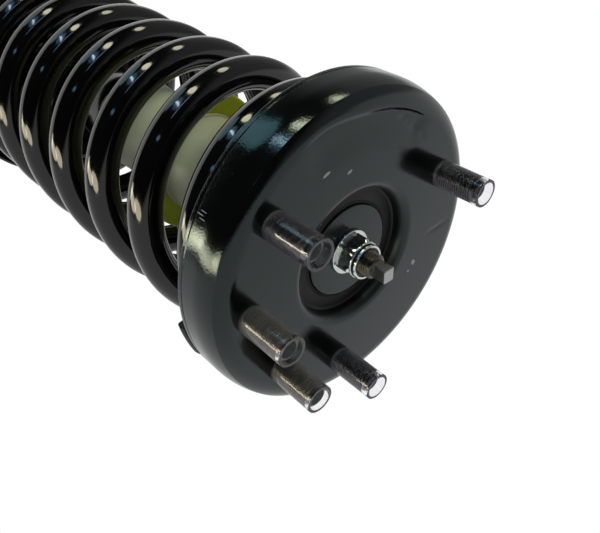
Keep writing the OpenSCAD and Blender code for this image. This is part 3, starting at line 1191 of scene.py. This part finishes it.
    def build_pad(self) -> None:
        """Makes the rubber spring pad under the plate, and its tab that shows below the skirt."""
        wall, lip = self.plate_r - self.plate_t - 0.3, COIL_LIP_R
        corners = [
            (lip - 4, -3.1, 0.3),
            (lip - 3, -21, 0.8),
            (lip - 1, -21, 0.8),
            (lip, -9.5, 0.6),
            (wall - 5.5, -9.5, 1.0),
            (wall - 3.5, -20, 0.6),
            (wall, -20, 0.6),
            (wall, -14, 1.5),
            (wall - 2.4, -9, 2.0),
            (62.0, -3.1, 0.5),
        ]
        pad = Shell.lathe(corners).plus(self.pad_tab(wall))
        add_piece("spring_pad_rubber", pad, RUBBER, Body.TOP, ("upper_spring_pad",))

    def pad_tab(self, wall: float) -> Shell:
        """The pad's tab: an outline carried through a few degrees and closed at both ends.

        Args:
            wall: The pad's outer radius.

        Returns:
            The tab.
        """
        lip = self.plate_r + 0.2
        corners = [
            (wall - 3, -31, 1.2),
            (lip, -31, 1.4),
            (lip + 0.6, -28.3, 1.4),
            (lip, -25.3, 0.5),
            (wall - 0.5, -25.2, 0.4),
            (wall - 0.5, -18, 0),
            (wall - 3, -18, 0),
        ]
        grid = revolved(outline(corners), 26, self.tab_sweep)
        tab = Shell.from_grid(grid, wrap_columns=False)
        rows, columns = grid.shape[:2]
        tab.faces.append([row * columns for row in range(rows)])
        tab.faces.append([row * columns + columns - 1 for row in range(rows)][::-1])
        return tab


@dataclass
class Spring:
    """The coil: a round wire on a right-hand helix that eases flat at both ends."""

    coil_r: float = 60.2
    wire_r: float = 8.5
    pitch: float = 40.0
    free_turns: float = 6.1
    close_turns: float = 1.005
    free_top_angle: float = 150.0
    top_z: float = -18.0
    bow: float = 3.4
    bow_lean: float = 0.45
    seat_shift: float = 0.8
    rings: int = 96
    sides: int = 40
    end_steps: tuple[Span, ...] = ((0.93, 0.5), (0.0, 0.6))

    def centre_line(self) -> Grid:
        """The wire's centre line, from the bottom end up.

        The angle grows evenly. The height's slope is the pitch over the free turns, and falls
        evenly to nothing over the closing turns at each end. The helix bows off the axis by a
        half sine wave between its ends, mostly along -X.

        Returns:
            Points in millimetres.
        """
        close, free, pitch = self.close_turns, self.free_turns, self.pitch
        turns = free + 2 * close
        n = np.linspace(0, turns, int(turns * self.rings))
        rise = pitch * (close + free)
        low = pitch * np.minimum(n, close) ** 2 / (2 * close)
        middle = pitch * np.clip(n - close, 0, free)
        past = np.clip(n - close - free, 0, close)
        top = pitch * (past - past**2 / (2 * close))
        z = self.top_z - rise + low + middle + top
        angle = np.radians(self.free_top_angle) + TAU * (n - free - close)
        wave = self.bow * np.sin(math.pi * (self.top_z - z) / rise)
        x = self.coil_r * np.cos(angle) - self.seat_shift - wave
        y = self.coil_r * np.sin(angle) + self.bow_lean * wave
        return np.stack([x, y, z], -1)

    def end_cap(self, centre: Grid, inner: Grid, ring: Grid) -> list[Grid]:
        """The two rings that close a sawn end: one a little smaller and further out, then a point.

        Args:
            centre: The path's last point at this end.
            inner: The point before it.
            ring: The wire's last ring.

        Returns:
            The smaller ring and the closing point's ring.
        """
        outward = (centre - inner) / np.linalg.norm(centre - inner)
        return [(centre + (ring - centre) * share + outward * reach)[None] for share, reach in self.end_steps]

    def build(self) -> None:
        """Makes the wire with slightly rounded, sawn ends, on a mesh of its own."""
        path = self.centre_line()
        grid = tube_grid(path, self.wire_r, self.sides)
        bottom = self.end_cap(path[0], path[1], grid[0])[::-1]
        top = self.end_cap(path[-1], path[-2], grid[-1])
        shell = Shell.from_grid(np.concatenate([*bottom, grid, *top]), wrap_rows=False)
        spring = add_piece(
            "coil_spring_wire",
            shell,
            POWDER_BLACK,
            Body.TOP,
            ("coil_spring",),
            sharp=60,
        )
        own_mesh(spring)


@dataclass
class BumpGear:
    """The cup under the well, the bumper, the dust tube with its collar, and the piston rod."""

    rod_r: float = 11.0
    tube_r: float = 27.5
    wall: float = 1.8
    bead: float = 1.1
    cup_z: float = -29.0
    collar_z: float = -124.0
    collar_r: float = 40.8
    piston_seat: float = 38.0
    thread_top: float = 12.3
    thread_groove: float = 0.7
    tip_top: float = 19.9
    tip_r: float = 4.3
    tip_flats: Span = (2.9, 3.6)
    tip_turn: float = -21.0

    def build(self) -> None:
        """Makes every piece round the rod."""
        self.build_cup()
        self.build_bumper()
        self.build_dust_tube()
        self.build_rod()

    def build_cup(self) -> None:
        """Revolves the pressed cup."""
        bore, r, z = self.rod_r + 1, self.tube_r, self.cup_z
        corners = [
            (bore, z - 2, 0.4),
            (r, z - 2, 0.8),
            (r, z - 14, 0.3),
            (r + 1.6, z - 14, 0.3),
            (r + 1.6, z, 1.4),
            (bore, z, 0.4),
        ]
        add_piece("bump_cup_pressing", Shell.lathe(corners), ZINC, Body.TOP, ("bump_cup",))

    def build_bumper(self) -> None:
        """Revolves the bumper's two waists with soft curves."""
        bore, z = self.rod_r + 0.6, self.cup_z - 2
        corners = [
            (bore, z - 60, 1.0),
            (15, z - 60, 2.0),
            (18, z - 52, 4.0),
            (19, z - 44, 4.0),
            (16.5, z - 38, 3.0),
            (21, z - 32, 3.0),
            (21, z - 24, 3.0),
            (17.5, z - 18, 3.0),
            (22.5, z - 12, 2.5),
            (22.5, z - 2, 1.5),
            (21, z, 0.5),
            (bore, z, 0.3),
        ]
        add_piece("bumper_foam", Shell.lathe(corners), URETHANE, Body.TOP, ("bump_stop",))

    def build_dust_tube(self) -> None:
        """Revolves the dust tube with its two beads, and the collar round it."""
        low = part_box("dust_tube")[0].z / MM
        r, inner, top = self.tube_r, self.tube_r - self.wall, self.cup_z - 2
        crest = r + self.bead
        corners = [(inner, low, 0.4), (r, low, 0.4)]
        for z in (low + 3, self.collar_z + 3):
            corners += [(r, z, 0.2), (crest, z + 0.3, 0.5), (crest, z + 2.2, 0.5), (r, z + 2.5, 0.2)]
        corners += [(r, top, 0.2), (inner, top, 0.2)]
        tube = Shell.lathe(corners)
        add_piece("dust_tube_moulding", tube, CREAM, Body.TOP, ("dust_tube",))
        z, out = self.collar_z, self.collar_r
        ring = Shell.lathe([(r, z - 3, 0.3), (out, z - 3, 1.4), (out, z + 3, 1.4), (r, z + 3, 0.3)])
        add_piece("dust_tube_ring", ring, URETHANE, Body.TOP, ("dust_tube_collar",))

    def build_rod(self) -> None:
        """Makes the ground rod, its thread and the driving tip."""
        r, low, shoulder = ROD_THREAD_R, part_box("piston_rod")[0].z / MM, ROD_SHOULDER_Z
        seat = low + self.piston_seat
        shank = [
            (0, low, 0),
            (r, low, 0.5),
            (r, seat, 0),
            (self.rod_r, seat, 0.6),
            (self.rod_r, shoulder, 0.8),
            (r - 0.5, shoulder, 0),
            (r - 0.5, 0, 0),
            (0, 0, 0),
        ]
        rod = Shell.lathe(shank, False, 96)
        add_piece("piston_rod_shank", rod, GROUND_STEEL, Body.TOP, ("piston_rod",))
        top, groove = self.thread_top, self.thread_groove
        end = top - 0.7
        nose = Shell.lathe([(r - THREAD_END * groove, end, 0), (r - 1.3, top, 0.2), (0, top, 0)], False, 64)
        thread = Shell.from_grid(thread_grid(r, -1.0, end, groove, 64), False)
        add_piece("rod_thread", thread.plus(nose), OILED_THREAD, Body.TOP)
        add_piece("rod_tip", self.driving_tip(top - 1), SAWN_STEEL, Body.TOP, sharp=30)

    def driving_tip(self, low: float) -> Shell:
        """The rod's flatted tip: a circle whose x and y are held within half the flats' widths.

        Args:
            low: Height at which it starts, inside the thread.

        Returns:
            The tip, turned to its place.
        """
        angle = np.radians(np.arange(0, 360, 4))
        ring = self.tip_r * np.stack([np.cos(angle), np.sin(angle)], -1)
        flats = np.array(self.tip_flats)
        turn = Matrix.Rotation(math.radians(self.tip_turn), 4, "Z")
        return Shell.prism(np.clip(ring, -flats, flats), low, self.tip_top, 0.35).turned(turn)


@dataclass
class DamperBody:
    """The reservoir tube with its cap, the spring's seat and pad, and the lower eye."""

    tube_r: float = 24.0
    wall: float = 1.6
    cap_top: float = -187.0
    seat_z: float = -315.7
    seat_t: float = 3.0
    pad_t: float = 5.0
    rim_r: float = 73.7
    eye_z: float = -470.0
    eye_r: float = 27.0
    eye_w: float = 38.0
    eye_wall: float = 5.5
    sleeve_r: float = 12.5
    bolt_r: float = 8.1

    def build(self) -> None:
        """Makes every piece of the damper's body."""
        self.build_tube()
        self.build_seat()
        self.build_eye()

    def build_tube(self) -> None:
        """Revolves the tube and the cap over its mouth."""
        r, z, bottom = self.tube_r, self.cap_top, self.eye_z + 29
        inner, top, hole = r - self.wall, z - 2, 12.4
        tube = Shell.lathe([(inner, bottom, 0.2), (r, bottom, 0.2), (r, top, 0.3), (inner, top, 0.3)])
        add_piece("damper_tube_wall", tube, POWDER_BLACK, Body.DAMPER, ("damper_tube",))
        corners = [
            (hole, z - 2, 0.4),
            (r, z - 2, 0.4),
            (r, z - 9, 0.2),
            (r + 0.6, z - 9, 0.2),
            (r + 0.6, z, 1.4),
            (hole, z, 0.5),
        ]
        cap = Shell.lathe(corners)
        add_piece("striker_cap_pressing", cap, ZINC, Body.DAMPER, ("striker_cap",))

    def build_seat(self) -> None:
        """Revolves the pressed dish with its rolled rim and hub, and the rubber pad in it."""
        r, t, z, rim = self.tube_r, self.seat_t, self.seat_z, self.rim_r
        dish = [
            (r, z - 22, 0.3),
            (r + t, z - 22, 0.6),
            (r + t, z - t - 4, 3.0),
            (r + 11, z - t, 4.0),
            (rim + t, z - t, 4.0 + t),
            (rim + t, z + 9, 0.8),
            (rim + 1.5, z + 10, 0.8),
            (rim, z + 9, 0.8),
            (rim, z, 4.0),
            (r + 10, z, 3.0),
            (r + 3, z + 3, 1.5),
            (r, z + 3, 0.3),
        ]
        seat = Shell.from_grid(revolved(dense(outline(dish), 3.0), 200))
        nodes = ("lower_spring_seat",)
        add_piece("lower_seat_dish", seat, POWDER_BLACK, Body.DAMPER, nodes)
        pad_top, lip = z + self.pad_t, COIL_LIP_R
        profile = [
            (lip - 4, z, 0.3),
            (69.5, z, 0.6),
            (69.5, pad_top, 0.6),
            (lip, pad_top, 0.6),
            (lip - 1, pad_top + 9, 0.8),
            (lip - 3, pad_top + 9, 0.8),
        ]
        pad = Shell.lathe(profile)
        add_piece("lower_pad_rubber", pad, RUBBER, Body.DAMPER, ("lower_spring_pad",))

    def laid(self, corners: list[Corner]) -> Shell:
        """A lathe shape turned on its side at the eye's centre."""
        side = Matrix.Rotation(math.radians(90), 4, "X")
        return Shell.lathe(corners, around=120).turned(side).moved((0, 0, self.eye_z))

    def build_eye(self) -> None:
        """Revolves the eye's ring, rubber and sleeve, and turns them on their side."""
        outer, inner, tube, half = self.eye_r, self.eye_r - self.eye_wall, self.sleeve_r, self.eye_w / 2
        ring = self.laid([(inner, -half, 0.5), (outer, -half, 0.8), (outer, half, 0.8), (inner, half, 0.5)])
        add_piece("eye_ring", ring, POWDER_BLACK, Body.DAMPER, ("lower_eye",))
        profile = [
            (tube + 0.1, -half - 3, 0.4),
            (inner - 4, -half - 3, 1.5),
            (inner - 1, -half, 0.5),
            (inner, -half + 1, 0.2),
            (inner, half - 1, 0.2),
            (inner - 1, half, 0.5),
            (inner - 4, half + 3, 1.5),
            (tube + 0.1, half + 3, 0.4),
        ]
        rubber = self.laid(profile)
        add_piece("eye_bush_rubber", rubber, RUBBER, Body.DAMPER, ("eye_rubber",))
        bore, end = self.bolt_r, half + 6
        sleeve = self.laid([(bore, -end, 0.5), (tube, -end, 0.5), (tube, end, 0.5), (bore, end, 0.5)])
        add_piece("eye_sleeve_steel", sleeve, ZINC, Body.BUSH, ("eye_sleeve",))


# ---------------------------------------------------------------- studio


@dataclass(frozen=True)
class Lamp:
    """A soft oval lamp, placed by the view's right, up and backward directions.

    It stands at a distance, in metres, towards one direction, and is longest along another. A
    lamp for gloss alone is seen in shiny surfaces and sheds no diffuse light.
    """

    name: str
    toward: Triple
    along: Triple
    long: float
    short: float
    radiance: float
    color: Triple
    distance: float = 1.5
    gloss_only: bool = False

    def build(self, axes: np.ndarray, target: np.ndarray) -> None:
        """Makes the lamp; its power is pi times its radiance times the area of its oval.

        Args:
            axes: The view's right, up and backward directions, one a row.
            target: The place that it faces.
        """
        away = np.array(self.toward) @ axes
        away /= np.linalg.norm(away)
        side = np.array(self.along) @ axes
        side -= away * (side @ away)
        side /= np.linalg.norm(side)
        data = bpy.data.lights.new(self.name, "AREA")
        data.shape = "ELLIPSE"
        data.size, data.size_y = self.long, self.short
        data.energy = self.radiance * math.pi * self.long * self.short * math.pi / 4
        data.color = self.color
        lamp = bpy.data.objects.new(self.name, data)
        matrix = Matrix(np.stack([side, np.cross(away, side), away], -1).tolist()).to_4x4()
        matrix.translation = Vector((target + away * self.distance).tolist())
        lamp.matrix_world = matrix
        lamp.visible_diffuse = not self.gloss_only
        bpy.context.scene.collection.objects.link(lamp)
        LOG.info("lamp %s", self.name)


@dataclass
class Studio:
    """A pale floor in a white cove with a dark ceiling, soft lamps and the camera.

    The ceiling and the wall are directions given by the view's right, up and backward.
    """

    lamps: tuple[Lamp, ...]
    eye: Triple = (-0.1023, 0.2338, 0.1691)
    right: Triple = (0.6958, -0.2840, 0.6597)
    up: Triple = (0.6673, 0.5953, -0.4475)
    lens: float = 40.08
    sensor: float = 36.0
    target: Triple = (0, 0, -0.06)
    floor_z: float = -0.4972
    floor_r: float = 0.45
    floor_sides: int = 96
    floor_white: Color = (0.9, 0.9, 0.9, 1)
    gloss_white: float = 0.75
    ceiling: Triple = (-0.18, 0.72, 0.53)
    ceiling_edge: float = 0.08
    ceiling_glow: float = 0.01
    wall: Triple = (0.71, -0.12, -0.70)
    wall_edge: float = 0.25
    wall_glow: float = 0.3
    fill: float = 0.28

    def build(self) -> None:
        """Makes the camera, the world, the floor and the lamps."""
        self.build_camera()
        self.build_world()
        self.build_floor()
        for lamp in self.lamps:
            lamp.build(self.axes(), np.array(self.target))

    def axes(self) -> np.ndarray:
        """The camera's right, up and backward directions, made square to each other.

        Returns:
            The three directions, one a row.
        """
        right = np.array(self.right) / np.linalg.norm(self.right)
        back = np.cross(right, self.up)
        back /= np.linalg.norm(back)
        return np.array([right, np.cross(back, right), back])

    def build_camera(self) -> None:
        """Places the camera."""
        data = bpy.data.cameras.new("view")
        data.lens = self.lens
        data.sensor_width = self.sensor
        data.clip_start, data.clip_end = 0.01, 50
        camera = bpy.data.objects.new("view", data)
        matrix = Matrix(self.axes().T.tolist()).to_4x4()
        matrix.translation = Vector(self.eye)
        camera.matrix_world = matrix
        bpy.context.scene.collection.objects.link(camera)
        bpy.context.scene.camera = camera

    def facing(self, tree: Nodes, place: Socket, axis: Triple, edge: float) -> Socket:
        """A smooth step from 0 to 1 as a direction comes to lean towards an axis.

        Args:
            tree: The world's node tree.
            place: The socket with the direction.
            axis: The axis, by the view's right, up and backward.
            edge: Half the width of the step.

        Returns:
            The socket with the step.
        """
        direction = tuple(np.array(axis) @ self.axes())
        lean = tree.vector("DOT_PRODUCT", place, direction)["Value"]
        step = tree.ramp(lean, -edge, edge)
        step.node.interpolation_type = "SMOOTHSTEP"
        return step

    def build_world(self) -> None:
        """Makes a white surround for the camera and for glass, with a dark ceiling that gloss shows.

        Seen in gloss or through glass, a direction is white on the near side of the ceiling's
        plane. On its far side it is a dim grey towards the wall and dark elsewhere.
        """
        world = bpy.data.worlds.new("surround")
        tree = Nodes(world)
        place = tree.nodes.new("ShaderNodeTexCoord").outputs["Generated"]
        ray = tree.nodes.new("ShaderNodeLightPath").outputs
        camera, glossy, through = ray["Is Camera Ray"], ray["Is Glossy Ray"], ray["Is Transmission Ray"]
        above = self.facing(tree, place, self.ceiling, self.ceiling_edge)
        wall = self.facing(tree, place, self.wall, self.wall_edge)
        over = tree.math("ADD", self.ceiling_glow, tree.math("MULTIPLY", wall, self.wall_glow))
        white = tree.math("SUBTRACT", 1.0, above)
        dim = tree.math("MULTIPLY", above, over)
        shine = tree.math("ADD", tree.math("MULTIPLY", white, self.gloss_white), dim)
        gloss = tree.math("MULTIPLY", glossy, shine)
        glass = tree.math("MULTIPLY", through, tree.math("ADD", white, dim))
        seen = tree.math("MAXIMUM", camera, tree.math("MAXIMUM", gloss, glass))
        other = tree.math("SUBTRACT", 1.0, tree.math("MAXIMUM", glossy, through))
        strength = tree.math("MAXIMUM", seen, tree.math("MULTIPLY", other, self.fill))
        light = tree.nodes.new("ShaderNodeBackground")
        output = tree.nodes.new("ShaderNodeOutputWorld")
        tree.join((1, 1, 1, 1), light.inputs["Color"])
        tree.join(strength, light.inputs["Strength"])
        tree.join(light.outputs[0], output.inputs["Surface"])
        bpy.context.scene.world = world

    def build_floor(self) -> None:
        """Makes a round white floor that keeps the strut's shadow."""
        angle = TAU * np.arange(self.floor_sides) / self.floor_sides
        ring = self.floor_r * np.stack([np.cos(angle), np.sin(angle)], -1)
        points = np.column_stack([ring, np.full(self.floor_sides, self.floor_z)])
        mesh = bpy.data.meshes.new("floor")
        mesh.from_pydata(points.tolist(), [], [list(range(self.floor_sides))])
        graph = Graph("floor_white")
        ray = graph.nodes.new("ShaderNodeLightPath").outputs
        seen = graph.math("MAXIMUM", ray["Is Camera Ray"], ray["Is Transmission Ray"])
        seen = graph.math("MAXIMUM", seen, ray["Is Glossy Ray"])
        glow = graph.math("MULTIPLY", seen, self.gloss_white)
        graph.set(Base_Color=self.floor_white, Roughness=0.7, Specular_IOR_Level=0.1)
        graph.set(Emission_Color=(1, 1, 1, 1), Emission_Strength=glow)
        mesh.materials.append(graph.material)
        floor = bpy.data.objects.new("floor", mesh)
        bpy.context.scene.collection.objects.link(floor)


# The lamps' colours, and the direction and line that two of the windows share.
BLUE = (0.35, 0.62, 1)
PALE_BLUE = (0.65, 0.83, 1)
SKY = (0.45, 0.85, 1)
WARM = (1, 0.96, 0.7)
PEACH = (1, 0.89, 0.67)
WINDOW = (-0.22, 0.70, 0.67)
WINDOW_LINE = (0.43, -0.2, 0.45)
LAMPS = (
    Lamp(
        "ceiling_strip", (0.03, 0.79, 0.62), (0.6, -0.3, 0.36),
        long=0.85, short=0.2, radiance=12.0, color=WARM,
    ),
    Lamp(
        "far_strip", (0.32, 0.90, 0.26), (0.33, -0.17, 0.19),
        long=0.65, short=0.2, radiance=9.0, color=WARM,
    ),
    Lamp(
        "near_band", (-0.60, -0.50, 0.62), (0.57, -0.34, 0.28),
        long=1.2, short=0.32, radiance=9.0, color=PEACH, gloss_only=True,
    ),
    Lamp(
        "corner_band", (-0.94, -0.22, 0.24), (0.21, -0.40, 0.50),
        long=1.2, short=0.24, radiance=8.5, color=PEACH, distance=1.42, gloss_only=True,
    ),
    Lamp(
        "left_band", (-0.985, 0.03, -0.19), (0.14, 0.12, -0.69),
        long=1.15, short=0.26, radiance=6.0, color=WARM, gloss_only=True,
    ),
    Lamp("tall_window", WINDOW, WINDOW_LINE, long=1.0, short=0.28, radiance=1.3, color=BLUE),
    Lamp(
        "side_window", (-0.53, 0.83, 0.19), (0.3, 0.02, 0.75),
        long=0.75, short=0.5, radiance=1.5, color=SKY,
    ),
    Lamp(
        "window_core", WINDOW, WINDOW_LINE,
        long=0.85, short=0.045, radiance=18.0, color=PALE_BLUE, distance=1.45,
    ),
    Lamp(
        "blue_strip", (0.11, 0.53, 0.84), (0.25, 0.2, -0.2),
        long=0.6, short=0.07, radiance=7.0, color=BLUE, distance=1.4, gloss_only=True,
    ),
    Lamp(
        "low_window", (-0.25, 0.22, 0.94), (0.4, -0.2, 0.1),
        long=0.5, short=0.1, radiance=3.0, color=BLUE,
    ),
)


def main() -> None:
    """Builds the studio and every sub-assembly round the frame."""
    logging.basicConfig(level=logging.INFO, format="%(name)s: %(message)s")
    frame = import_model()
    bpy.context.scene.view_settings.view_transform = "Standard"
    Studio(LAMPS).build()
    for part in (TopMount(), Spring(), BumpGear(), DamperBody()):
        part.build()
    for node, (finish, slot) in NODE_FINISHES.items():
        dress_node(frame, node, finish)


if __name__ == "__main__":
    main()
